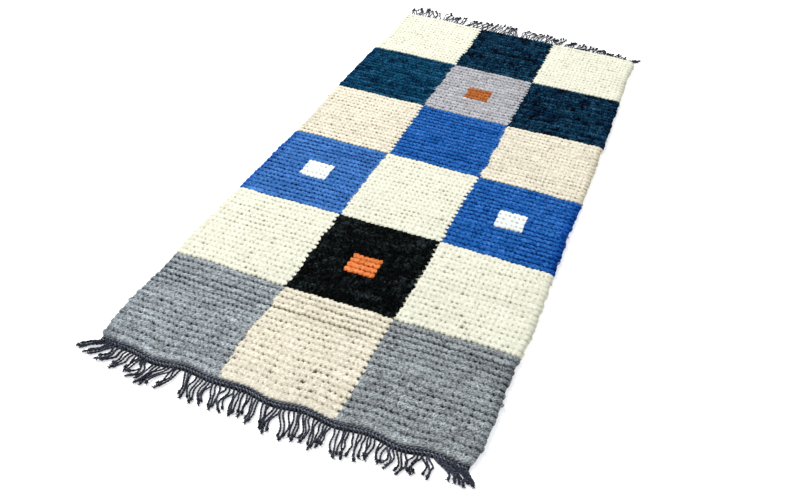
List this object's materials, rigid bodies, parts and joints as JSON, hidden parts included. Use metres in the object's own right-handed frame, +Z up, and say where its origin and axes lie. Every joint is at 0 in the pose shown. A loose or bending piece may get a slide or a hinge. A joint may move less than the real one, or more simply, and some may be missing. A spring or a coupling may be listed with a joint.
{
  "type": "hand-woven wool rug",
  "caption": "Flat hand-woven wool rug with raised weft rows, joined colour blocks and a knotted cotton fringe along each end; it lies on a floor.",
  "frame": {"origin": "on the floor, under the middle of the rug's whole outline with its fringes", "axes": "+Y along the rug from the near end to the far end, +X across it to the right, +Z up from the floor"},
  "size_m": [0.677, 1.5978, 0.0132],
  "materials": {
    "wool": "matte thick hand-spun wool, woven in joined blocks of cream, beige, blue, teal, grey, black and a little orange",
    "cotton": "matte charcoal two-ply cotton cord, knotted at its ends"
  },
  "bodies": {
    "root": {"rug_body": "wool", "fringe_near": "cotton", "fringe_far": "cotton"}
  },
  "joints": []
}
